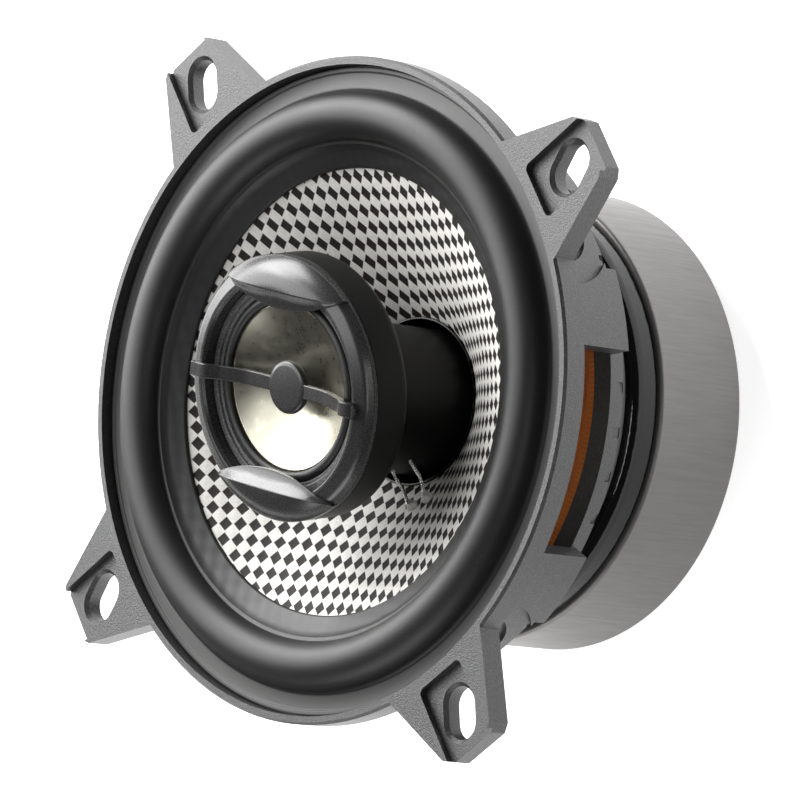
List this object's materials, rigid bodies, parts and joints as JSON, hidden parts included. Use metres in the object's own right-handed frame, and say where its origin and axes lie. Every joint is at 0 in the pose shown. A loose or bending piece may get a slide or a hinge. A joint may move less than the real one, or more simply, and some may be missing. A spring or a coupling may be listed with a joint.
{
  "type": "coaxial car speaker",
  "caption": "Round coaxial car speaker with slotted mounting ears, woven cone, rubber roll edge, large ring magnet and a swivelling tweeter with an inverted metal dome on a centre post",
  "frame": {"origin": "centre of the plane where the back of the flange and ears seats on the door", "axes": "+Z out of the front along the cone's axis; X along the long side of the screw rectangle; the tweeter head leans towards -Y; terminals at -X"},
  "size_m": [0.102, 0.102, 0.0737],
  "materials": {
    "basket_plastic": "fine grained",
    "black_plastic": "satin",
    "black_steel": "gloss",
    "ferrite": "satin",
    "zinc_steel": "bright",
    "rubber": "matte",
    "woven_glass": "woven, coated",
    "orange_cloth": "resin dipped weave",
    "coil_paper": "matte",
    "copper_wire": "enamelled",
    "silver_braid": "braided",
    "brown_board": "satin",
    "tinned_brass": "tinned",
    "cap_sleeve": "gloss",
    "dome_metal": "polished",
    "neodymium": "nickel"
  },
  "bodies": {
    "frame": {"basket": "basket_plastic", "basket_screws": "zinc_steel", "front_plate": "black_steel", "magnet": "ferrite", "yoke": "black_steel", "post_bolt": "zinc_steel", "tweeter_post": "black_plastic", "head_retainer": "zinc_steel", "terminal_block": "brown_board", "terminal_positive": "tinned_brass", "terminal_negative": "tinned_brass", "terminal_rivets": "tinned_brass", "capacitor": "cap_sleeve", "capacitor_leads": "silver_braid", "surround": "rubber", "spider": "orange_cloth", "tinsel_lead_positive": "silver_braid", "tinsel_lead_negative": "silver_braid", "tweeter_leads": "silver_braid"},
    "cone_assembly": {"cone": "woven_glass", "coil_former": "coil_paper", "voice_coil": "copper_wire", "cone_solder_joints": "zinc_steel"},
    "tweeter_head": {"tweeter_housing": "black_plastic", "tweeter_bezel": "black_plastic", "tweeter_face_ring": "black_plastic", "dome_guard": "black_plastic", "tweeter_pot": "black_steel", "tweeter_magnet": "neodymium", "tweeter_pole": "zinc_steel", "tweeter_dome_edge": "rubber"},
    "tweeter_diaphragm": {"tweeter_dome": "dome_metal", "tweeter_coil_former": "coil_paper", "tweeter_voice_coil": "copper_wire"}
  },
  "joints": [
    {"name": "cone_slide", "type": "slide", "parent": "frame", "child": "cone_assembly", "axis": [0, 0, 1], "range_m": [-0.003, 0.003], "stiffness_N_per_m": 2000, "deforming": ["surround", "spider", "tinsel_lead_positive", "tinsel_lead_negative", "tweeter_leads"]},
    {"name": "head_tilt", "type": "hinge", "parent": "frame", "child": "tweeter_head", "pos_m": [0, 0, 0.0088], "axis": [1, 0, 0], "range_deg": [-26, 4]},
    {"name": "dome_slide", "type": "slide", "parent": "tweeter_head", "child": "tweeter_diaphragm", "axis": [0, -0.1908, 0.9816], "range_m": [-0.0003, 0.0003], "stiffness_N_per_m": 2000, "deforming": ["tweeter_dome_edge"]}
  ]
}
